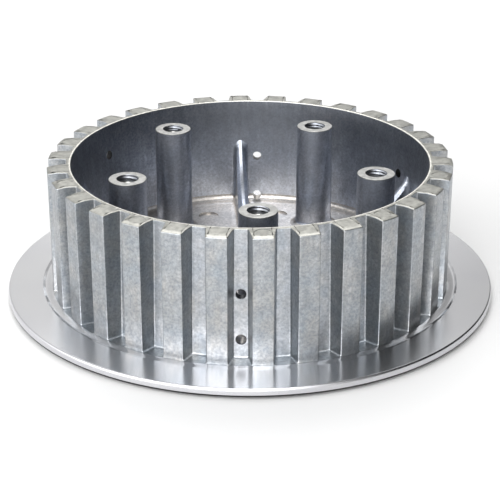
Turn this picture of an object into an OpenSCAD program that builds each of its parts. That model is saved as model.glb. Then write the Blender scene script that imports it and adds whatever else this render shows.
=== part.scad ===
// Inner hub of a wet multi-plate clutch: a die-cast drum with outside splines,
// a turned friction flange, five spring posts, a splined steel bush in the
// middle and a steel thread insert in each post.
// Frame: origin on the shaft axis at the flange's back face, +Z up the shaft
// towards the open rim, post 1 on -Y. Millimetres.

/* [Flange] */
// Outer radius of the friction flange
flange_r = 77.2; // [74:0.1:82]
// Thickness of the flange, back face to friction face
flange_t = 2.8; // [2.4:0.1:4]
// Radial width of the bevels on the flange's two edges
flange_bevel_w = 0.5; // [0.2:0.1:0.8]
// Drop of the bevel on the upper edge
flange_top_bevel = 0.9; // [0.3:0.1:1]
// Rise of the bevel on the lower edge
flange_low_bevel = 0.8; // [0.3:0.1:1]

/* [Drum] */
// Height of the rim above the friction face
drum_h = 39.8; // [30:0.1:50]
// Radius of the inner wall at the rim
rim_in_r = 55.8; // [54:0.1:56.2]
// Radius of the inner wall at the floor, smaller by the casting's draft
floor_in_r = 54.6; // [53:0.1:55.5]
// Height of the inside floor above the friction face
floor_h = 3.8; // [3:0.1:6]
// Thickness of the floor web
web_t = 3.4; // [2.5:0.1:4.5]
// Inner radius of the friction face, where the relief round the splines' foot ends
relief_r = 66.4; // [65:0.1:68]
// Depth of that relief below the friction face
relief_d = 0.25; // [0.1:0.05:0.6]
// Radial width of the slope between the two
relief_slope_w = 1; // [0.5:0.1:1.2]

/* [Splines] */
// Number of outside spline teeth, a multiple of five so that posts fall on teeth
teeth = 30; // [20:5:40]
// Radius over the tooth tips
tip_r = 63.1; // [61.5:0.1:63.5]
// Radius at the groove floors, at the rim
root_r = 57.2; // [57:0.1:58]
// Radius at the groove floors at their foot, larger by the casting's draft
root_foot_r = 58.2; // [58:0.1:59]
// Width of a tooth at its tip
tip_w = 6.2; // [5:0.1:6.5]
// Width of a tooth at its root
root_w = 7.9; // [7:0.1:8.5]
// Radial length of the chamfer on the upper end of a tooth
tip_chamfer_l = 1.4; // [0.5:0.1:2]
// Drop of that chamfer
tip_chamfer_d = 0.4; // [0.2:0.1:1]

/* [Oil holes] */
// Radius of an oil hole
oil_r = 1.5; // [1:0.1:2]
// Number of grooves that have oil holes
oil_grooves = 6; // [3:3:6]
// Height of the lowest hole above the friction face
oil_low = 5.7; // [5.5:0.1:7]
// Rise from one groove's holes to the next one's
oil_step = 4.8; // [3:0.1:5]
// Distance from a groove's lower hole to its upper one
oil_gap = 14.3; // [12:0.1:15]

/* [Posts] */
// Number of spring posts
posts = 5; // [5:1:5]
// Diameter of the circle that the posts stand on
post_pcd = 80; // [76:0.5:84]
// Radius of a post
post_r = 5.8; // [5.6:0.1:6.5]
// Height of the post tops above the friction face
post_h = 38.5; // [30:0.1:39]
// Chamfer round a post's top
post_chamfer = 0.4; // [0.2:0.1:0.8]
// Radius of the hole that takes the thread insert
insert_r = 3.5; // [3.4:0.1:3.8]
// Bore radius of the thread insert, the minor radius of an M6 thread
insert_bore_r = 2.5; // [2.4:0.05:2.6]
// Length of the thread insert
insert_l = 12; // [9:1:15]
// Depth of the insert's upper end below the post's top
insert_sunk = 1.6; // [0.8:0.1:2.5]

/* [Ribs] */
// Thickness of a rib's crest
rib_crest_w = 3; // [2:0.1:3.5]
// Thickness of a rib at the floor
rib_base_w = 5; // [4:0.1:5.5]
// Radius of the hollow curve along a rib's crest
rib_arc_r = 39.6; // [38:0.1:42]
// Distance of that curve's centre from the shaft axis
rib_arc_x = 23; // [21:0.5:25]

/* [Centre] */
// Radius of the central boss
boss_r = 19; // [18:0.5:22]
// Height of the central boss above the friction face
boss_h = 8.6; // [7:0.1:10]
// Radius of the steel bush
bush_r = 15; // [14:0.5:16]
// Radius of the bush's collar, let into the back face
collar_r = 17; // [16.5:0.1:17.5]
// Thickness of that collar
collar_t = 1.6; // [1:0.1:2.5]
// Number of splines inside the bush
bush_teeth = 16; // [12:1:20]
// Radius at the tips of the bush's splines
bush_minor_r = 10.5; // [10:0.1:11]
// Radius at the floors of the bush's spline grooves
bush_major_r = 12.2; // [11.6:0.1:12.5]
// Width of a groove in the bush
bush_groove_w = 2.2; // [1.6:0.1:2.4]

/* [Hidden] */
$fn = 96;
eps = 0.01;
rim_z = flange_t + drum_h;
floor_z = flange_t + floor_h;
relief_z = flange_t - relief_d;
post_z = flange_t + post_h;
boss_z = flange_t + boss_h;
post_circle_r = post_pcd / 2;
post_step = 360 / posts;
tooth_step = 360 / teeth;
// Underside pocket, from the boss to the inside of the flange's back face
pocket_in_r = 24;
pocket_out_r = floor_in_r - 2;
pocket_z = floor_z - web_t;
// Lowest point of the ribs' crest curve lies level with the boss
rib_arc_z = boss_z + rib_arc_r;
rib_in_r = boss_r - 2;
rib_out_r = rim_in_r + 0.6;
rib_top_z = rib_arc_z - sqrt(rib_arc_r * rib_arc_r - pow(rib_out_r - rib_arc_x, 2));
// Drill point below each thread insert
drill_r = 3.1;
drill_extra = 3;

module around(count, start = 0) {
    for (i = [0:count - 1]) rotate([0, 0, start + i * 360 / count]) children();
}

// Outside of the splined drum at the rim, seen from above: tooth 1 on -Y
module spline_outline() {
    intersection() {
        circle(r = tip_r);
        union() {
            circle(r = root_r);
            around(teeth)
                polygon([
                    [-root_w / 2, -root_r + 1], [root_w / 2, -root_r + 1],
                    [root_w / 2, -sqrt(root_r * root_r - root_w * root_w / 4)],
                    [tip_w / 2, -tip_r], [-tip_w / 2, -tip_r],
                    [-root_w / 2, -sqrt(root_r * root_r - root_w * root_w / 4)]
                ]);
        }
    }
}

// The splined drum with drafted groove floors and a chamfer on the teeth's upper ends
module splined_drum() {
    intersection() {
        union() {
            linear_extrude(height = rim_z) spline_outline();
            translate([0, 0, relief_z]) cylinder(h = rim_z - relief_z, r1 = root_foot_r, r2 = root_r);
        }
        rotate_extrude()
            polygon([
                [rim_in_r - 4, flange_t - 1], [tip_r + 1, flange_t - 1],
                [tip_r + 1, rim_z - tip_chamfer_d], [tip_r, rim_z - tip_chamfer_d],
                [tip_r - tip_chamfer_l, rim_z], [rim_in_r - 4, rim_z]
            ]);
    }
}

// Flange, relief, floor web and boss as one turned section
module turned_body() {
    rotate_extrude()
        polygon([
            [0, 0], [pocket_in_r, 0], [pocket_in_r, pocket_z], [pocket_out_r, pocket_z],
            [pocket_out_r, 0], [flange_r - flange_bevel_w, 0],
            [flange_r, flange_low_bevel], [flange_r, flange_t - flange_top_bevel],
            [flange_r - flange_bevel_w, flange_t], [relief_r, flange_t],
            [relief_r - relief_slope_w, relief_z], [root_r - 1, relief_z], [root_r - 1, floor_z],
            [boss_r, floor_z], [boss_r, boss_z], [0, boss_z]
        ]);
}

// The space inside the drum, wider at the rim by the draft
module drum_space() {
    rotate_extrude()
        polygon([
            [0, floor_z], [floor_in_r, floor_z], [rim_in_r, rim_z], [rim_in_r, rim_z + 1],
            [0, rim_z + 1]
        ]);
}

module post() {
    rotate_extrude()
        polygon([
            [0, floor_z - 1], [post_r, floor_z - 1], [post_r, post_z - post_chamfer],
            [post_r - post_chamfer, post_z], [0, post_z]
        ]);
}

// A rib from the boss to the wall: wedge-shaped across, with a hollow crest
module rib() {
    difference() {
        rotate([90, 0, 90])
            translate([0, 0, rib_in_r])
                linear_extrude(height = rib_out_r - rib_in_r)
                    polygon([
                        [-rib_base_w / 2, floor_z - 1], [rib_base_w / 2, floor_z - 1],
                        [rib_crest_w / 2, rib_top_z], [-rib_crest_w / 2, rib_top_z]
                    ]);
        translate([rib_arc_x, 0, rib_arc_z])
            rotate([90, 0, 0])
                cylinder(h = rib_base_w + 2, r = rib_arc_r, center = true);
    }
}

// The two oil holes of one groove, drilled through the drum's wall
module oil_pair(row) {
    for (rise = [0, oil_gap])
        translate([0, 0, flange_t + oil_low + row * oil_step + rise])
            rotate([90, 0, 0])
                cylinder(h = root_r + 5, r = oil_r);
}

module oil_holes() {
    for (k = [0:oil_grooves - 1])
        rotate([0, 0, -tooth_step / 2 + k * 360 / oil_grooves])
            difference() {
                oil_pair((2 * k) % 3);
                cylinder(h = rim_z, r = floor_in_r - 4);
            }
}

module post_hole() {
    hole_z = post_z - insert_sunk - insert_l;
    translate([0, 0, hole_z]) cylinder(h = insert_sunk + insert_l + 1, r = insert_r);
    translate([0, 0, hole_z - drill_extra]) cylinder(h = drill_extra + eps, r = drill_r);
}

module bush_seat() {
    translate([0, 0, -1]) cylinder(h = boss_z + 2, r = bush_r);
    translate([0, 0, -1]) cylinder(h = collar_t + 1, r = collar_r);
}

module hub_casting() {
    color([0.72, 0.73, 0.75])
        difference() {
            union() {
                difference() {
                    union() {
                        turned_body();
                        splined_drum();
                    }
                    difference() {
                        drum_space();
                        translate([0, 0, floor_z - 1]) cylinder(h = boss_h, r = boss_r);
                    }
                }
                around(posts) translate([0, -post_circle_r, 0]) post();
                around(posts, start = -90 + post_step / 2) rib();
            }
            oil_holes();
            around(posts) translate([0, -post_circle_r, 0]) post_hole();
            bush_seat();
        }
}

// Steel bush with a collar at the back and splines for the shaft
module spline_bush() {
    color([0.50, 0.51, 0.53])
        difference() {
            union() {
                cylinder(h = boss_z, r = bush_r);
                cylinder(h = collar_t, r = collar_r);
            }
            translate([0, 0, -1])
                linear_extrude(height = boss_z + 2)
                    union() {
                        circle(r = bush_minor_r);
                        intersection() {
                            circle(r = bush_major_r);
                            around(bush_teeth)
                                translate([-bush_groove_w / 2, -bush_major_r - 1])
                                    square([bush_groove_w, bush_major_r + 1]);
                        }
                    }
        }
}

// Steel thread insert in post i
module thread_insert(i) {
    color([0.62, 0.62, 0.60])
        rotate([0, 0, (i - 1) * post_step])
            translate([0, -post_circle_r, post_z - insert_sunk - insert_l])
                difference() {
                    cylinder(h = insert_l, r = insert_r);
                    translate([0, 0, -1]) cylinder(h = insert_l + 2, r = insert_bore_r);
                }
}

hub_casting();
spline_bush();
for (i = [1:posts])
    thread_insert(i);
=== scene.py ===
"""Looks for the inner clutch hub: detailed meshes, metal materials, light and camera.

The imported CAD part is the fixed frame. Lengths in this script are millimetres, turned
into metres when a mesh is made. Angles run from -Y towards +X, seen from above.
"""

import math

import bpy
import numpy as np
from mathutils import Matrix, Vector

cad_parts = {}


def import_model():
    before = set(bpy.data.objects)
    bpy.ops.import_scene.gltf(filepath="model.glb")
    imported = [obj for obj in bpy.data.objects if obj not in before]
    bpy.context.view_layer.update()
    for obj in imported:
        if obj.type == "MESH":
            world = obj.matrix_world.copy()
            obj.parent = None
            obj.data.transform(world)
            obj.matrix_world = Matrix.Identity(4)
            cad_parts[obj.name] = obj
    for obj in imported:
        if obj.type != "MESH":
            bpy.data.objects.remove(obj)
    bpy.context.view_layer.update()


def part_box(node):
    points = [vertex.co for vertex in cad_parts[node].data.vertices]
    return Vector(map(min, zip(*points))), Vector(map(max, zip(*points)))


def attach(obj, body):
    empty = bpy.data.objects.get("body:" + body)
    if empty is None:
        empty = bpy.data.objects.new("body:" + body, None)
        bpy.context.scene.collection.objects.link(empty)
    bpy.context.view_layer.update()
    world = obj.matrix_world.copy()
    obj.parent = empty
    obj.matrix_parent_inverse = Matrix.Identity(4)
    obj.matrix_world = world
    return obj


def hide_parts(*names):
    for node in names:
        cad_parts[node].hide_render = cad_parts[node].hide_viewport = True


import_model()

MM = 0.001
TAU = 2 * math.pi


def node_box(node):
    """Lowest and highest corners of a CAD node, in millimetres."""
    low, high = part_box(node)
    return [v / MM for v in low], [v / MM for v in high]


# ---- Sizes: the outer ones come from the frame, the others repeat the part's own dimensions

hub_high = node_box("hub_casting")[1]
bush_high = node_box("spline_bush")[1]
insert_low, insert_high = node_box("thread_insert_1")

# Flange and drum
FLANGE_R = hub_high[0]
RIM_Z = hub_high[2]
DRUM_H = 39.8
FLANGE_Z = RIM_Z - DRUM_H
RELIEF_R = 66.4
RIM_IN_R = 55.8
FLOOR_IN_R = 54.6
FLOOR_H = 3.8
FLOOR_Z = FLANGE_Z + FLOOR_H
WEB_T = 3.4
POCKET_Z = FLOOR_Z - WEB_T
POCKET_IN_R = 24
POCKET_OUT_R = 52.6

# Outside splines and the oil holes in the grooves between them
TEETH = 30
TIP_R = 63.1
ROOT_R = 57.2
ROOT_FOOT_R = 58.2
TIP_HALF = 3.1
ROOT_HALF = 3.95
CHAMFER_L = 1.4
CHAMFER_D = 0.4
OIL_GROOVES = 6
OIL_R = 1.5
OIL_LOW = 5.7
OIL_STEP = 4.8
OIL_GAP = 14.3

# Boss and bush
BOSS_Z = bush_high[2]
BOSS_R = 19
BUSH_R = 15
BUSH_TEETH = 16
BUSH_MINOR_R = 10.5
BUSH_MAJOR_R = 12.2
BUSH_GROOVE_HALF = 1.1
COLLAR_R = bush_high[0]
COLLAR_T = 1.6

# Posts, thread inserts and ribs
POSTS = 5
POST_H = 38.5
POST_Z = FLANGE_Z + POST_H
POST_R = 5.8
POST_CIRCLE_R = -(insert_high[1] + insert_low[1]) / 2
DRILL_R = 3.1
INSERT_R = (insert_high[0] - insert_low[0]) / 2
INSERT_BORE_R = 2.5
INSERT_TOP = insert_high[2]
INSERT_LOW = insert_low[2]
RIB_ARC_R = 39.6
RIB_ARC_X = 23

# Sizes of the finer shapes that only the visual model has
EDGE_ROUND_R = 0.6
EDGE_TOP_DROP = 0.95
EDGE_LOW_RISE = 0.8
FOOT_Z = FLANGE_Z - 0.05
FOOT_FILLET_R = 0.6
RELIEF_LOW_Z = FLANGE_Z - 0.5
RIM_EDGE_R = RIM_IN_R + 0.55
WALL_FOOT_Z = FLOOR_Z + 2.2
THREAD_PITCH = 1.0
THREAD_CREST_R = 3.2
PIN_CIRCLE_R = 42
PIN_FROM_RIB = math.radians(16.4)
TOOTH_MARK_CIRCLE_R = 59.5
MARKED_TEETH = range(0, TEETH, 3)


# ---- Solids: each is its points, in millimetres, and its faces

def polar(radius, angle, z):
    """Points at a radius and an angle from -Y, with x, y and z in the last axis."""
    radius, angle, z = np.broadcast_arrays(radius, angle, z)
    return np.stack([radius * np.sin(angle), -radius * np.cos(angle), z], axis=-1)


def loft(rings, closed=False):
    """A solid through rings of equally many points.

    closed joins the last ring to the first. Otherwise each end is capped.
    """
    rings = np.asarray(rings, float)
    count, around = rings.shape[:2]
    faces = []
    for i in range(count if closed else count - 1):
        a, b = i * around, (i + 1) % count * around
        for j in range(around):
            k = (j + 1) % around
            faces.append((a + j, a + k, b + k, b + j))
    if not closed:
        faces.append(tuple(range(around))[::-1])
        faces.append(tuple((count - 1) * around + j for j in range(around)))
    points = rings.reshape(-1, 3)
    if volume(points, faces) < 0:
        faces = [face[::-1] for face in faces]
    return points, faces


def volume(points, faces):
    """Signed volume inside some faces, positive where they face outwards."""
    total = 0.0
    for corners in {len(face) for face in faces}:
        own = points[np.array([face for face in faces if len(face) == corners])]
        for i in range(1, corners - 1):
            total += np.einsum("ij,ij->", own[:, 0], np.cross(own[:, i], own[:, i + 1])) / 6
    return total


def turned(profile, around):
    """A solid of revolution about Z, from (radius, z) points, capped at both ends."""
    angle = np.linspace(0, TAU, around, endpoint=False)
    return loft([polar(r, angle, z) for r, z in profile])


def combined(solids):
    """Several solids as one list of points and faces."""
    points, faces, start = [], [], 0
    for own_points, own_faces in solids:
        points.append(own_points)
        faces += [tuple(start + i for i in face) for face in own_faces]
        start += len(own_points)
    return np.concatenate(points), faces


def placed(solid, angle=0.0, offset=(0, 0, 0)):
    """A solid moved by an offset, then turned about Z in the sense that takes -Y towards +X."""
    points = solid[0] + np.asarray(offset, float)
    c, s = math.cos(angle), math.sin(angle)
    x, y = points[:, 0], points[:, 1]
    return np.column_stack([c * x - s * y, s * x + c * y, points[:, 2]]), solid[1]


def make_object(name, solid):
    """A Blender object of a solid."""
    points, faces = solid
    mesh = bpy.data.meshes.new(name)
    mesh.from_pydata((points * MM).tolist(), [], faces)
    made = bpy.data.objects.new(name, mesh)
    bpy.context.scene.collection.objects.link(made)
    return made


def boolean(target, solid, operation):
    """Joins a solid to an object, or cuts it away."""
    tool = make_object("tool", solid)
    change = target.modifiers.new(operation, "BOOLEAN")
    change.operation = operation
    change.solver = "MANIFOLD"
    change.object = tool
    bpy.context.view_layer.update()
    seen = target.evaluated_get(bpy.context.evaluated_depsgraph_get())
    old, mesh = target.data, bpy.data.meshes.new_from_object(seen)
    target.modifiers.clear()
    target.data = mesh
    for leftover in (old, tool.data):
        bpy.data.meshes.remove(leftover)
    mesh.name = target.name


# ---- Curves and outlines

def arc(centre, radius, start, end, steps):
    """Points along an arc in the (radius, z) plane, angles in degrees, both ends included."""
    angle = np.radians(np.linspace(start, end, steps + 1))
    return [(centre[0] + radius * math.cos(a), centre[1] + radius * math.sin(a)) for a in angle]


def rounded_corner(before, corner, after, radius, steps):
    """Points of an arc that rounds one corner of an outline, both tangent points included."""
    before, corner, after = (np.asarray(p, float) for p in (before, corner, after))
    into = (before - corner) / np.linalg.norm(before - corner)
    out = (after - corner) / np.linalg.norm(after - corner)
    half = math.acos(float(into @ out)) / 2
    reach = radius / math.tan(half)
    centre = corner + (into + out) / np.linalg.norm(into + out) * radius / math.sin(half)
    start, end = corner + into * reach - centre, corner + out * reach - centre
    sweep = math.atan2(start[0] * end[1] - start[1] * end[0], float(start @ end))
    points = []
    for step in range(steps + 1):
        c, s = math.cos(sweep * step / steps), math.sin(sweep * step / steps)
        points.append((centre[0] + c * start[0] - s * start[1], centre[1] + s * start[0] + c * start[1]))
    return points


def mirrored(half):
    """A symmetric run of (across, outward) points from its left half, whose last point is in the middle."""
    return half + [(-x, y) for x, y in reversed(half[1:-1])]


def repeated(period, count):
    """A closed outline that repeats one run of (across, outward) points round the axis."""
    period = np.asarray(period)
    turns = (np.arange(count) * TAU / count)[:, None]
    x = np.cos(turns) * period[:, 0] + np.sin(turns) * period[:, 1]
    y = np.sin(turns) * period[:, 0] - np.cos(turns) * period[:, 1]
    return np.column_stack([x.ravel(), y.ravel()])


def on_circle(x, radius):
    """The (across, outward) point of a circle about the axis at a distance across."""
    return (x, math.sqrt(radius ** 2 - x ** 2))


def groove_r(z):
    """Radius of the groove floors, which lean out towards the foot by the casting's draft."""
    return ROOT_R + (ROOT_FOOT_R - ROOT_R) * (RIM_Z - z) / (RIM_Z - FOOT_Z)


def spline_outline(z):
    """Outside of the drum at a height, from the middle of a groove round a tooth."""
    root_round, tip_round = 0.5, 0.3
    root_r = groove_r(z)
    root_half = ROOT_HALF + (TIP_HALF - ROOT_HALF) * (root_r - ROOT_R) / (TIP_R - ROOT_R)
    groove = on_circle(-root_r * math.sin(math.pi / TEETH), root_r)
    root, tip, crown = on_circle(-root_half, root_r), on_circle(-TIP_HALF, TIP_R), on_circle(0, TIP_R)
    # Points at fixed distances across keep the groove's arc and the tip's arc round
    half = [groove, on_circle(-5.2, root_r)]
    half += rounded_corner(groove, root, tip, root_round, 3)
    half.append(((root[0] + tip[0]) / 2, (root[1] + tip[1]) / 2))
    half += rounded_corner(root, tip, crown, tip_round, 3)
    half += [on_circle(x, TIP_R) for x in (-1.9, -0.9)]
    half.append(crown)
    return repeated(mirrored(half), TEETH)


def bush_outline():
    """Inside of the bush, from the middle of a spline round a groove."""
    mouth_round, bottom_round = 0.12, 0.25
    spline = on_circle(-BUSH_MINOR_R * math.sin(math.pi / BUSH_TEETH), BUSH_MINOR_R)
    mouth = on_circle(-BUSH_GROOVE_HALF, BUSH_MINOR_R)
    bottom = on_circle(-BUSH_GROOVE_HALF, BUSH_MAJOR_R)
    middle = on_circle(0, BUSH_MAJOR_R)
    half = [spline]
    half += rounded_corner(spline, mouth, bottom, mouth_round, 2)
    half += rounded_corner(mouth, bottom, middle, bottom_round, 2)
    half.append(middle)
    return repeated(mirrored(half), BUSH_TEETH)


def angles_of(outline):
    """Angle of each point of an outline from -Y, growing all the way round."""
    return np.unwrap(np.arctan2(outline[:, 0], -outline[:, 1]))


def moved_out(outline, distance):
    """The outline moved outwards along its own normals. A negative distance moves it inwards."""
    along = np.roll(outline, -1, axis=0) - np.roll(outline, 1, axis=0)
    normal = np.column_stack([along[:, 1], -along[:, 0]])
    return outline + normal / np.linalg.norm(normal, axis=1)[:, None] * distance


def within(outline, low, high):
    """The outline with every point brought between two radii."""
    r = np.linalg.norm(outline, axis=1)
    return outline * (np.clip(r, low, high) / r)[:, None]


def at_height(outline, z):
    """The outline as points at one height, or at a height for each of them."""
    return np.column_stack([outline, np.broadcast_to(z, len(outline))])


def fillet(distance, radius):
    """How far a fillet stands out, at a distance from the face that it runs into."""
    d = np.clip(distance, 0, radius)
    return float(radius - math.sqrt(radius ** 2 - (radius - d) ** 2))


# ---- The casting

def wall_r(z):
    """Radius of the drum's inner wall, which leans out towards the rim."""
    return FLOOR_IN_R + (RIM_IN_R - FLOOR_IN_R) * (z - FLOOR_Z) / (RIM_Z - FLOOR_Z)


def inside_profile():
    """Bush seat, boss, floor and inner wall, as (radius, z) from the back face up to the rim."""
    seat_bevel, bore_bevel = 0.2, 0.25
    boss_round, boss_fillet = 0.8, 1.8
    wall_fillet, rim_round = 1.9, 0.2
    points = [(COLLAR_R + seat_bevel, 0), (COLLAR_R, seat_bevel), (COLLAR_R, COLLAR_T), (BUSH_R, COLLAR_T)]
    points += [(BUSH_R, BOSS_Z - bore_bevel), (BUSH_R + bore_bevel, BOSS_Z)]
    points += arc((BOSS_R - boss_round, BOSS_Z - boss_round), boss_round, 90, 0, 4)
    points += arc((BOSS_R + boss_fillet, FLOOR_Z + boss_fillet), boss_fillet, 180, 270, 5)
    points += [(r, FLOOR_Z) for r in (30, 40, 50.4)]
    # The floor lifts a little just before the fillet at the wall's foot
    points += [(50.9, FLOOR_Z + 0.12), (51.4, FLOOR_Z + 0.2), (52.8, FLOOR_Z + 0.33)]
    points += arc((wall_r(WALL_FOOT_Z) - wall_fillet, WALL_FOOT_Z), wall_fillet, -75, 0, 6)
    points += [(wall_r(z), z) for z in (FLOOR_Z + 8, FLOOR_Z + 20, RIM_Z - 3)]
    points += arc((RIM_IN_R + rim_round, RIM_Z - rim_round), rim_round, 180, 90, 3)
    points.append((RIM_EDGE_R, RIM_Z))
    return points


def flange_profile():
    """Relief, flange and underside, as (radius, z) from the foot of the splines round to the bush seat."""
    points = [(TIP_R + 0.25, FOOT_Z - 0.02), (TIP_R + 1.1, FOOT_Z - 0.22), (TIP_R + 1.9, RELIEF_LOW_Z + 0.03)]
    points += [(TIP_R + 2.3, RELIEF_LOW_Z), (RELIEF_R - 0.7, RELIEF_LOW_Z + 0.08)]
    points += [(RELIEF_R - 0.1, FLANGE_Z - 0.04), (RELIEF_R, FLANGE_Z), (FLANGE_R - 5, FLANGE_Z)]

    # The outer edge is rounded off above and below
    inner_r = FLANGE_R - EDGE_ROUND_R
    quarter = np.radians(np.linspace(0, 90, 7))
    for a in quarter:
        points.append((inner_r + EDGE_ROUND_R * math.sin(a), FLANGE_Z - EDGE_TOP_DROP * (1 - math.cos(a))))
    for a in quarter[::-1]:
        points.append((inner_r + EDGE_ROUND_R * math.sin(a), EDGE_LOW_RISE * (1 - math.cos(a))))

    # The pocket under the floor, with round corners at its ceiling
    mouth_bevel, corner_r, corner_in = 0.3, 0.9, 1.0
    corner_z = POCKET_Z - corner_r
    points += [(POCKET_OUT_R + mouth_bevel, 0), (POCKET_OUT_R, mouth_bevel), (POCKET_OUT_R - 0.05, corner_z)]
    points += arc((POCKET_OUT_R - corner_in, corner_z), corner_r, 0, 90, 4)[1:]
    points += arc((POCKET_IN_R + corner_in, corner_z), corner_r, 90, 180, 4)
    points += [(POCKET_IN_R, mouth_bevel), (POCKET_IN_R - mouth_bevel, 0)]
    return points


def tooth_end(outline):
    """Height of the teeth's upper ends, which are chamfered towards their tips."""
    beyond = np.linalg.norm(outline, axis=1) - (TIP_R - CHAMFER_L)
    return RIM_Z - CHAMFER_D * np.clip(beyond, 0, None) / CHAMFER_L


def drum():
    """Flange, drum, floor and boss as one ring-shaped solid, whose rings follow the splines."""
    outline = spline_outline(RIM_Z)
    angle = angles_of(outline)
    rings = [polar(r, angle, z) for r, z in inside_profile()]

    # The teeth's upper ends: a level ring inside the chamfer, then a narrow round down to the sides
    level_inset = 0.7
    rings.append(at_height(within(moved_out(outline, -level_inset), 0, TIP_R - CHAMFER_L), RIM_Z))
    for inset, drop in ((0.2, 0), (0.1, 0.03), (0.03, 0.1), (0, 0.2)):
        edge = moved_out(outline, -inset)
        rings.append(at_height(edge, tooth_end(edge) - drop))

    # The sides of the teeth, then the fillet at their foot
    for z in (RIM_Z - 4, (RIM_Z + FOOT_Z) / 2, FOOT_Z + 4, FOOT_Z + FOOT_FILLET_R):
        rings.append(at_height(spline_outline(z), z))
    for rise in (0.35, 0.17, 0.06, 0):
        spread = moved_out(spline_outline(FOOT_Z + rise), fillet(rise, FOOT_FILLET_R))
        rings.append(at_height(within(spread, 0, TIP_R + 0.1), FOOT_Z + rise))

    rings += [polar(r, angle, z) for r, z in flange_profile()]
    return loft(rings, closed=True)


def post():
    """A spring post from inside the floor up to its top, then down its hole.

    The upper end of the hole shows the thread as a helix.
    """
    around = 72
    angle = np.linspace(0, TAU, around, endpoint=False)
    draft, base_fillet = 0.2, 2.4
    profile = []
    for rise in (-0.5, 0.1, 0.5, 1.1, 1.8, base_fillet):
        profile.append((POST_R + draft + fillet(rise, base_fillet), FLOOR_Z + rise))
    profile += [(POST_R, POST_Z - 0.25), (POST_R - 0.03, POST_Z - 0.1), (POST_R - 0.1, POST_Z - 0.03)]
    profile += [(POST_R - 0.22, POST_Z), (THREAD_CREST_R + 0.2, POST_Z)]
    rings = [polar(r, angle, z) for r, z in profile]

    thread_depth = INSERT_R - THREAD_CREST_R
    for z in np.arange(POST_Z - 0.2, INSERT_TOP - 0.1, -THREAD_PITCH / 8):
        phase = (z / THREAD_PITCH - angle / TAU) % 1.0
        rings.append(polar(INSERT_R - thread_depth * (1 - np.abs(2 * phase - 1)), angle, z))

    # The seat of the insert, then the narrower drill hole with its pointed end
    drill_end = INSERT_LOW - 5
    seat = [(INSERT_R, INSERT_TOP), (INSERT_R, INSERT_LOW)]
    drilled = [(DRILL_R, INSERT_LOW - 0.2), (DRILL_R, drill_end), (0.3, drill_end - 1.4)]
    rings += [polar(r, angle, z) for r, z in seat + drilled]
    return placed(loft(rings), offset=(0, -POST_CIRCLE_R, 0))


def rib_section(out):
    """A rib's closed cross-section at a distance from the axis, as (across, z).

    It has drafted sides and a rounded crest, and flares where it meets the floor and the wall.
    """
    floor_fillet, wall_fillet, crest_lift = 1.8, 1.6, 0.4
    below_boss, shoulder_drop = 0.12, 1.4
    arc_z = BOSS_Z - below_boss + RIB_ARC_R
    crest = arc_z - math.sqrt(RIB_ARC_R ** 2 - max(out - RIB_ARC_X, 0) ** 2)
    crest += fillet(wall_r(crest) - out, wall_fillet) * crest_lift
    shoulder = crest - shoulder_drop

    def half_width(z):
        narrow, narrow_z, draft = 1.25, RIM_Z - 14, 0.035
        drafted = narrow + (narrow_z - z) * draft
        return drafted + fillet(z - FLOOR_Z, floor_fillet) + fillet(wall_r(z) - out, wall_fillet)

    heights = [FLOOR_Z + rise for rise in (-0.4, 0, 0.25, 0.6, 1.1, floor_fillet)]
    heights += [heights[-1] + (shoulder - heights[-1]) * share for share in (0.25, 0.5, 0.75, 1)]
    half = [(half_width(z), z) for z in heights]
    half += [(0.8, crest - 0.32), (0.62, crest - 0.1), (0.4, crest)]
    return half + [(-x, z) for x, z in reversed(half)]


def rib():
    """A rib from inside the boss to inside the wall, with closer sections where it flares."""
    stations = np.concatenate([np.linspace(BOSS_R - 2, 50, 34), np.linspace(50.5, 56.2, 20)])
    return loft([[(x, -out, z) for x, z in rib_section(out)] for out in stations])


def oil_hole(groove, rise):
    """A cutter for one oil hole, with a small break at its outer edge."""
    around = 32
    angle = np.linspace(0, TAU, around, endpoint=False)
    height = FLANGE_Z + OIL_LOW + OIL_STEP * (2 * groove % 3) + rise
    mouth_r = OIL_R + 0.15
    rings = []
    for out, r in ((52, OIL_R), (ROOT_R + 0.3, OIL_R), (ROOT_R + 0.6, mouth_r), (60, mouth_r)):
        rings.append(np.column_stack([r * np.cos(angle), np.full(around, -out), height + r * np.sin(angle)]))
    return placed(loft(rings), -math.pi / TEETH + groove * TAU / OIL_GROOVES)


def floor_mark(rib_angle, side):
    """A cutter for the round mark that an ejector pin leaves on the floor."""
    profile = [(2.9, FLOOR_Z - 0.6), (3.3, FLOOR_Z - 0.45), (3.7, FLOOR_Z + 1)]
    return placed(turned(profile, 48), rib_angle + side * PIN_FROM_RIB, (0, -PIN_CIRCLE_R, 0))


def tooth_mark(tooth):
    """A cutter for the round mark on the end of a tooth."""
    profile = [(2.4, RIM_Z - 0.12), (2.5, RIM_Z - 0.05), (2.5, RIM_Z + 1)]
    return placed(turned(profile, 48), tooth * TAU / TEETH, (0, -TOOTH_MARK_CIRCLE_R, 0))


def casting():
    """The whole casting as one closed mesh."""
    step = TAU / POSTS
    made = make_object("hub_casting_detailed", drum())
    added = [placed(post(), k * step) for k in range(POSTS)]
    added += [placed(rib(), (k + 0.5) * step) for k in range(POSTS)]
    boolean(made, combined(added), "UNION")
    cut = [oil_hole(k, rise) for k in range(OIL_GROOVES) for rise in (0, OIL_GAP)]
    cut += [floor_mark((k + 0.5) * step, side) for k in range(POSTS) for side in (-1, 1)]
    cut += [tooth_mark(k) for k in MARKED_TEETH]
    boolean(made, combined(cut), "DIFFERENCE")
    return made


# ---- The bush and the thread inserts

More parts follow.
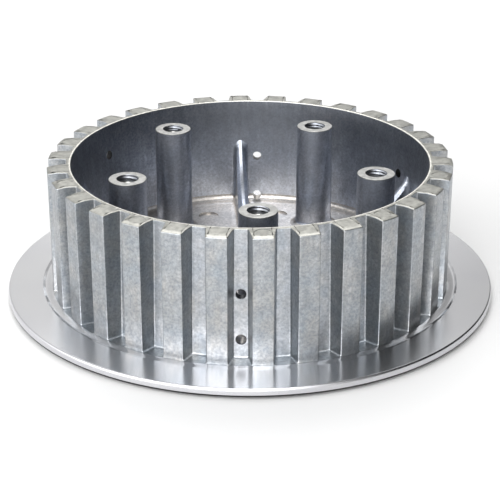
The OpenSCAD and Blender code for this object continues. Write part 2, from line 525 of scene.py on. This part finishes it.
def bush():
    """Splined bush with chamfered ends, as a ring whose inner side follows the splines."""
    outline = bush_outline()
    angle = angles_of(outline)
    bevel = 0.2
    face_r = BUSH_MAJOR_R + 0.6
    chamfer_r, chamfer_d = BUSH_MAJOR_R - 0.5, 0.6
    collar_top = COLLAR_T - 0.05
    outside = [(COLLAR_R - bevel, 0), (COLLAR_R, bevel), (COLLAR_R, collar_top), (BUSH_R, collar_top)]
    outside += [(BUSH_R, BOSS_Z - bevel), (BUSH_R - bevel, BOSS_Z)]
    rings = [polar(r, angle, z) for r, z in outside + [(face_r, BOSS_Z)]]
    for z, low in ((BOSS_Z, chamfer_r), (BOSS_Z - chamfer_d, 0), (chamfer_d, 0), (0, chamfer_r)):
        rings.append(at_height(within(moved_out(outline, 0.06 if low else 0), low, COLLAR_R), z))
    rings.append(polar(face_r, angle, 0))
    return make_object("spline_bush_detailed", loft(rings, closed=True))


def thread_insert(index):
    """A coil of diamond-section wire, wound as an M6 thread insert."""
    per_turn = 40
    turns = (INSERT_TOP - INSERT_LOW) / THREAD_PITCH - 1
    steps = int(turns * per_turn)
    half_height = THREAD_PITCH * 0.46
    middle_r = (INSERT_R + INSERT_BORE_R) / 2
    depth = (INSERT_R - INSERT_BORE_R) / 2
    # Half the width of the wire's blunt corners: inner and outer, then upper and lower
    blunt, flat = 0.07, 0.05
    section = [(-depth, -blunt), (-depth, blunt), (-flat, half_height), (flat, half_height)]
    section += [(depth, blunt), (depth, -blunt), (flat, -half_height), (-flat, -half_height)]
    rings = []
    for step in range(steps + 1):
        a = TAU * step / per_turn
        z = INSERT_LOW + half_height + THREAD_PITCH * step / per_turn
        rings.append([polar(middle_r + r, a, z + rise) for r, rise in section])
    coil = placed(loft(rings), offset=(0, -POST_CIRCLE_R, 0))
    return make_object(f"thread_insert_{index + 1}_coil", placed(coil, index * TAU / POSTS))


# ---- Materials

class Nodes:
    """Short calls for building a material's node tree."""

    def __init__(self, name):
        self.material = bpy.data.materials.new(name)
        self.material.use_nodes = True
        self.tree = self.material.node_tree
        self.shader = self.tree.nodes["Principled BSDF"]
        self.place = self.add("ShaderNodeTexCoord").outputs["Object"]

    def add(self, kind, **settings):
        """A new node of a kind, with some of its settings."""
        node = self.tree.nodes.new(kind)
        for key, value in settings.items():
            setattr(node, key, value)
        return node

    def put(self, socket, value):
        """Links a node's output to a socket, or sets the socket to a plain value."""
        if isinstance(value, bpy.types.NodeSocket):
            self.tree.links.new(value, socket)
        else:
            socket.default_value = value

    def math(self, operation, first, second=0.0):
        """The result of a calculation on one or two numbers."""
        node = self.add("ShaderNodeMath", operation=operation)
        self.put(node.inputs[0], first)
        self.put(node.inputs[1], second)
        return node.outputs[0]

    def stretched(self, scale):
        """Object coordinates scaled differently along X, Y and Z."""
        node = self.add("ShaderNodeMapping")
        self.put(node.inputs["Vector"], self.place)
        node.inputs["Scale"].default_value = scale
        return node.outputs[0]

    def noise(self, size, detail, roughness, vector=None):
        """Noise from 0 to 1 whose features are about size millimetres across."""
        node = self.add("ShaderNodeTexNoise")
        self.put(node.inputs["Vector"], vector or self.place)
        node.inputs["Scale"].default_value = 1 / (size * MM)
        node.inputs["Detail"].default_value = detail
        node.inputs["Roughness"].default_value = roughness
        return node.outputs[0]

    def ranged(self, value, low, high, to_low, to_high):
        """A number brought from one range to another, and kept within it."""
        node = self.add("ShaderNodeMapRange")
        for socket, number in zip(node.inputs[:5], (value, low, high, to_low, to_high)):
            self.put(socket, number)
        return node.outputs[0]

    def mix(self, share, first, second):
        """A blend of two colours, each another node's output or plain red, green and blue."""
        node = self.add("ShaderNodeMix", data_type="RGBA")
        self.put(node.inputs[0], share)
        for socket, colour in ((node.inputs[6], first), (node.inputs[7], second)):
            self.put(socket, colour if isinstance(colour, bpy.types.NodeSocket) else (*colour, 1))
        return node.outputs[2]

    def scaled(self, colour, factor):
        """A colour times a number."""
        node = self.add("ShaderNodeVectorMath", operation="SCALE")
        self.put(node.inputs[0], colour)
        self.put(node.inputs["Scale"], factor)
        return node.outputs[0]

    def from_height(self, low, high, at_low, at_high):
        """A number that follows the height in millimetres from at_low to at_high."""
        node = self.add("ShaderNodeSeparateXYZ")
        self.put(node.inputs[0], self.place)
        return self.ranged(node.outputs["Z"], low * MM, high * MM, at_low, at_high)

    def bump(self, height, distance, before=None):
        """Bump whose full height is distance millimetres."""
        node = self.add("ShaderNodeBump")
        self.put(node.inputs["Height"], height)
        node.inputs["Distance"].default_value = distance * MM
        node.inputs["Strength"].default_value = 1.0
        if before:
            self.put(node.inputs["Normal"], before)
        return node.outputs[0]

    def radius(self):
        """Distance from the shaft axis, in millimetres."""
        split = self.add("ShaderNodeSeparateXYZ")
        self.put(split.inputs[0], self.place)
        x, y = split.outputs[0], split.outputs[1]
        total = self.math("ADD", self.math("MULTIPLY", x, x), self.math("MULTIPLY", y, y))
        return self.math("DIVIDE", self.math("SQRT", total), MM)


def cast_aluminium(name, cool, warm, worn, painted_foot_light):
    """Grey die-cast skin: fine dark mottling over cool and warm patches, with worn streaks up the draft.

    painted_foot_light is how many times brighter the skin is painted at the floor than 30 mm above it: a
    painted reflection of the bright floor on the wall's foot.
    """
    n = Nodes(name)
    patches = n.noise(7, 4, 0.6)
    streaks = n.noise(1.3, 2, 0.5, n.stretched((1, 1, 0.05)))
    mottle = n.noise(0.8, 5, 0.75)
    blotches = n.noise(3.2, 3, 0.6)
    tone = n.mix(n.ranged(patches, 0.35, 0.65, 0.0, 1.0), cool, warm)
    tone = n.mix(n.ranged(streaks, 0.35, 0.7, 0.0, 0.5), tone, worn)
    dark = [0.45 * channel for channel in cool]
    tone = n.mix(n.ranged(mottle, 0.3, 0.7, 0.0, 0.75), tone, dark)
    tone = n.mix(n.ranged(blotches, 0.35, 0.75, 0.0, 0.45), tone, dark)
    # Painted reflection of the floor: the skin is painted brighter towards the floor
    painted_light = n.from_height(FLOOR_Z + 2, FLOOR_Z + 30, painted_foot_light, 1.0)
    n.put(n.shader.inputs["Base Color"], n.scaled(tone, painted_light))
    n.put(n.shader.inputs["Metallic"], 1.0)
    n.put(n.shader.inputs["Roughness"], n.ranged(mottle, 0.3, 0.7, 0.28, 0.42))
    rough = n.bump(n.noise(0.35, 2, 0.6), 0.015)
    n.put(n.shader.inputs["Normal"], n.bump(blotches, 0.05, before=rough))
    return n.material


def turned_aluminium(name, dull, bright):
    """Turned face: fine rings round the axis that stretch every reflection across them."""
    n = Nodes(name)
    rings_per_mm = 3.0
    rings = n.add("ShaderNodeTexNoise", noise_dimensions="1D")
    n.put(rings.inputs["W"], n.math("MULTIPLY", n.radius(), rings_per_mm))
    rings.inputs["Detail"].default_value = 3.0
    haze = n.noise(30, 2, 0.5)
    n.put(n.shader.inputs["Base Color"], n.mix(n.ranged(haze, 0.35, 0.65, 0.0, 1.0), dull, bright))
    n.put(n.shader.inputs["Metallic"], 1.0)
    n.put(n.shader.inputs["Roughness"], n.ranged(rings.outputs[0], 0.3, 0.7, 0.19, 0.24))
    n.put(n.shader.inputs["Anisotropic"], 0.85)
    n.put(n.shader.inputs["Anisotropic Rotation"], 0.25)
    tangent = n.add("ShaderNodeTangent", direction_type="RADIAL", axis="Z")
    n.put(n.shader.inputs["Tangent"], tangent.outputs[0])
    n.put(n.shader.inputs["Normal"], n.bump(rings.outputs[0], 0.002))
    return n.material


def milled_aluminium(name, dull, bright):
    """A milled upper face of the rim, the teeth or the posts, a little scuffed."""
    n = Nodes(name)
    scuffs = n.noise(1.6, 4, 0.65)
    n.put(n.shader.inputs["Base Color"], n.mix(n.ranged(scuffs, 0.35, 0.65, 0.0, 1.0), dull, bright))
    n.put(n.shader.inputs["Metallic"], 1.0)
    n.put(n.shader.inputs["Roughness"], n.ranged(scuffs, 0.3, 0.7, 0.3, 0.45))
    n.put(n.shader.inputs["Normal"], n.bump(n.noise(0.5, 2, 0.5), 0.008))
    return n.material


def bush_steel():
    """Steel of the bush, unevenly stained."""
    n = Nodes("bush_metal")
    stain = n.noise(4, 4, 0.6)
    base = n.mix(n.ranged(stain, 0.35, 0.65, 0.0, 1.0), (0.36, 0.355, 0.35), (0.46, 0.455, 0.45))
    n.put(n.shader.inputs["Base Color"], base)
    n.put(n.shader.inputs["Metallic"], 1.0)
    n.put(n.shader.inputs["Roughness"], n.ranged(stain, 0.3, 0.7, 0.25, 0.4))
    n.put(n.shader.inputs["Normal"], n.bump(n.noise(0.4, 2, 0.5), 0.004))
    return n.material


def insert_steel():
    """Smooth steel wire of the thread inserts."""
    n = Nodes("insert_wire")
    tint = n.noise(1.2, 2, 0.5)
    base = n.mix(n.ranged(tint, 0.35, 0.65, 0.0, 1.0), (0.38, 0.375, 0.36), (0.48, 0.475, 0.46))
    n.put(n.shader.inputs["Base Color"], base)
    n.put(n.shader.inputs["Metallic"], 1.0)
    n.put(n.shader.inputs["Roughness"], n.ranged(tint, 0.3, 0.7, 0.18, 0.28))
    return n.material


# Looks of the cast skin: its cool patches, warm patches and worn streaks, and its painted light at the floor.
# Apart from cast_outside, each is a lit or shaded copy of the one skin, painted lighter where light falls and
# darker where shade lies
CAST_SKINS = {
    "cast_outside": ((0.43, 0.47, 0.51), (0.56, 0.545, 0.52), (0.63, 0.65, 0.68), 1.0),
    # Painted light: the groove floors are a lighter copy of the outside skin
    "cast_groove_painted_light": ((0.48, 0.52, 0.57), (0.62, 0.61, 0.59), (0.70, 0.72, 0.76), 1.0),
    # Painted shade on the walls inside the drum, with a painted reflection of the floor at their foot
    "cast_cavity_painted_shade": ((0.29, 0.31, 0.35), (0.33, 0.345, 0.38), (0.43, 0.46, 0.51), 2.4),
    # Painted light: posts, boss and the ribs' crests are a lighter copy of the skin
    "cast_posts_painted_light": ((0.50, 0.54, 0.62), (0.57, 0.59, 0.65), (0.72, 0.76, 0.84), 1.0),
    # Painted shade on the ribs' sides and inside the posts' holes
    "cast_painted_shade": ((0.28, 0.30, 0.34), (0.33, 0.33, 0.35), (0.38, 0.40, 0.43), 1.0),
    # Painted light on the floor inside the drum and the wall's foot
    "cast_web_painted_light": ((0.60, 0.57, 0.54), (0.74, 0.68, 0.62), (0.79, 0.76, 0.72), 1.0),
    # Painted deep shade under the flange's edge and inside the oil holes
    "cast_painted_deep_shade": ((0.05, 0.05, 0.055), (0.075, 0.07, 0.065), (0.09, 0.09, 0.09), 1.0),
}
# Looks of the machined faces: where they are dull and where they are bright
TURNED_FACES = {
    "turned_face": ((0.62, 0.62, 0.64), (0.66, 0.66, 0.67)),
    "turned_edge": ((0.62, 0.62, 0.65), (0.66, 0.66, 0.68)),
}
MILLED_FACES = {
    # Painted highlight along the rim's inner edge
    "milled_rim_painted_highlight": ((0.60, 0.59, 0.54), (0.76, 0.75, 0.69)),
    "milled_tooth_end": ((0.24, 0.24, 0.22), (0.38, 0.375, 0.345)),
    "milled_post": ((0.30, 0.30, 0.29), (0.44, 0.44, 0.425)),
}


def finish_casting(made):
    """Gives each face of the casting its finish, a material that finish_of names."""
    finishes = {name: cast_aluminium(name, *looks) for name, looks in CAST_SKINS.items()}
    finishes.update({name: turned_aluminium(name, *looks) for name, looks in TURNED_FACES.items()})
    finishes.update({name: milled_aluminium(name, *looks) for name, looks in MILLED_FACES.items()})
    made.data.materials.clear()
    for material in finishes.values():
        made.data.materials.append(material)
    order = {name: place for place, name in enumerate(finishes)}
    chosen = [order[finish_of(face)] for face in made.data.polygons]
    made.data.polygons.foreach_set("material_index", chosen)


def finish_of(face):
    """Which finish a face of the casting has, painted light and shade included, from where its middle lies
    and which way it faces.
    """
    slack = 0.02
    x, y, z = (v / MM for v in face.center)
    radius = math.hypot(x, y)
    levelness = abs(face.normal.z)

    # The flange: its rounded edge, with painted shade on its lower part, then its turned faces and the boss's
    # lower end
    if radius > FLANGE_R - EDGE_ROUND_R and z < FLANGE_Z - slack:
        return "turned_edge" if z > EDGE_LOW_RISE - slack else "cast_painted_deep_shade"
    if radius > TIP_R + 0.2 and z < FLANGE_Z + slack:
        return "turned_face"
    if z < slack and (radius > POCKET_OUT_R or radius < POCKET_IN_R):
        return "turned_face"

    # The upper ends of the drum: a painted highlight along the rim's inner edge, then the rim and the teeth
    if z > RIM_Z - CHAMFER_D - slack and levelness > 0.5:
        return "milled_rim_painted_highlight" if radius < RIM_EDGE_R + slack else "milled_tooth_end"

    # Painted shade inside the posts' holes, then the posts' tops
    turn = TAU / POSTS
    bearing = math.atan2(x, -y)
    from_post = bearing - turn * round(bearing / turn)
    from_rib = (bearing - turn / 2) - turn * round((bearing - turn / 2) / turn)
    post_axis_gap = math.hypot(radius * math.sin(from_post), radius * math.cos(from_post) - POST_CIRCLE_R)
    if post_axis_gap < INSERT_R and FLOOR_Z < z < POST_Z - 0.1:
        return "cast_painted_shade"
    if z > POST_Z - 0.5 and radius < POST_CIRCLE_R + POST_R + 1:
        return "milled_post"

    # Painted deep shade inside the oil holes
    if FLOOR_Z + 2 < z < RIM_Z - 2 and wall_r(z) + 0.15 < radius < ROOT_R - 0.15:
        return "cast_painted_deep_shade"

    # Inside the drum, lit and shaded copies of the skin: painted light on the floor and the wall's foot,
    # painted shade on the ribs' sides and painted light on their crests, then painted light on posts and boss
    # and painted shade on the wall
    if z > FLOOR_Z - 1 and radius < RIM_IN_R + 0.1:
        if z < FLOOR_Z + 1 or (z < WALL_FOOT_Z and radius > 52):
            return "cast_web_painted_light"
        if BOSS_R + 2 < radius < RIM_IN_R - 2.5 and abs(from_rib) < 0.1:
            return "cast_painted_shade" if levelness < 0.4 else "cast_posts_painted_light"
        return "cast_posts_painted_light" if radius < POST_CIRCLE_R + POST_R + 0.5 else "cast_cavity_painted_shade"

    # Painted light on the groove floors, then the rest of the outside and the underside
    if abs(radius - groove_r(z)) < 0.1 and FOOT_Z + 1 < z < RIM_Z - 1:
        return "cast_groove_painted_light"
    return "cast_outside"


def crisp(made, degrees):
    """Smooth shading that keeps edges sharper than an angle, and weighs normals by face area."""
    mesh = made.data
    mesh.polygons.foreach_set("use_smooth", [True] * len(mesh.polygons))
    mesh.set_sharp_from_angle(angle=math.radians(degrees))
    weighted = made.modifiers.new("weighted_normals", "WEIGHTED_NORMAL")
    weighted.keep_sharp = True
    weighted.mode = "FACE_AREA"


# ---- The object

# Edges that turn by more than this many degrees stay sharp
SHARP = 32
COIL_SHARP = 50

hub = casting()
finish_casting(hub)
crisp(hub, SHARP)
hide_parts("hub_casting")
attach(hub, "root")

centre = bush()
centre.data.materials.append(bush_steel())
crisp(centre, SHARP)
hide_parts("spline_bush")
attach(centre, "root")

wire = insert_steel()
for index in range(POSTS):
    coil = thread_insert(index)
    coil.data.materials.append(wire)
    crisp(coil, COIL_SHARP)
    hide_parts(f"thread_insert_{index + 1}")
    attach(coil, "root")


# ---- Floor, light and camera

# Gap under the flange, which shows as a thin dark line under its edge
FLOOR_GAP = 0.8
# Lobes of light: elevation and azimuth of the middle in degrees, sharpness and strength
LOBES = (
    (10, 345, 8, 3.9),
    (35, 0, 8, 1.9),
    (35, 310, 8, 2.3),
    (10, 285, 8, 2.3),
    (10, 240, 8, 1.0),
    (60, 0, 40, 7.0),
    (10, 182, 8, 0.9),
    (53, 178.5, 30, 7.4),
)
# Strength of the light from everywhere else
SURROUND = 0.02


def toward(elevation, azimuth):
    """Unit vector at an elevation and an azimuth, in degrees. Azimuth runs from -Y towards +X."""
    elevation, azimuth = math.radians(elevation), math.radians(azimuth)
    level = math.cos(elevation)
    return Vector((level * math.sin(azimuth), -level * math.cos(azimuth), math.sin(elevation)))


def floor():
    """A plain pale floor, a little below the flange."""
    reach, thickness = 4000, 1
    made = make_object("floor", turned([(reach, -thickness - FLOOR_GAP), (reach, -FLOOR_GAP)], 64))
    material = bpy.data.materials.new("floor_white")
    material.use_nodes = True
    shader = material.node_tree.nodes["Principled BSDF"]
    shader.inputs["Base Color"].default_value = (0.64, 0.64, 0.64, 1)
    shader.inputs["Roughness"].default_value = 0.6
    made.data.materials.append(material)


def world():
    """Soft studio light: lobes that fade with the angle from their middle, over a dim surround."""
    made = bpy.data.worlds.new("studio")
    made.use_nodes = True
    nodes, links = made.node_tree.nodes, made.node_tree.links
    direction = nodes.new("ShaderNodeTexCoord").outputs["Generated"]

    def math_node(operation, first, second):
        """The result of a Math node on two values, each another node's output or a plain number."""
        node = nodes.new("ShaderNodeMath")
        node.operation = operation
        for socket, value in zip(node.inputs, (first, second)):
            if isinstance(value, bpy.types.NodeSocket):
                links.new(value, socket)
            else:
                socket.default_value = value
        return node.outputs[0]

    total = SURROUND
    for elevation, azimuth, sharpness, strength in LOBES:
        cosine = nodes.new("ShaderNodeVectorMath")
        cosine.operation = "DOT_PRODUCT"
        links.new(direction, cosine.inputs[0])
        cosine.inputs[1].default_value = toward(elevation, azimuth)
        fall = math_node("MULTIPLY", math_node("SUBTRACT", cosine.outputs["Value"], 1.0), sharpness)
        lobe = math_node("MULTIPLY", math_node("EXPONENT", fall, 0.0), strength)
        total = math_node("ADD", lobe, total)
    links.new(total, nodes["Background"].inputs["Strength"])
    nodes["Background"].inputs["Color"].default_value = (1, 1, 1, 1)
    bpy.context.scene.world = made


def camera():
    """The camera, aimed at the friction face's middle from a little to the left of post 1."""
    distance = 502.7
    away = toward(24.67, -3.454) * distance
    target = Vector((0, 0, FLANGE_Z))
    data = bpy.data.cameras.new("camera")
    data.sensor_width = 36
    data.lens = 112.1
    data.shift_y = 0.0469
    made = bpy.data.objects.new("camera", data)
    bpy.context.scene.collection.objects.link(made)
    made.location = (target + away) * MM
    made.rotation_euler = (-away).to_track_quat("-Z", "Y").to_euler()
    bpy.context.scene.camera = made


floor()
world()
camera()
bpy.context.scene.view_settings.view_transform = "Standard"
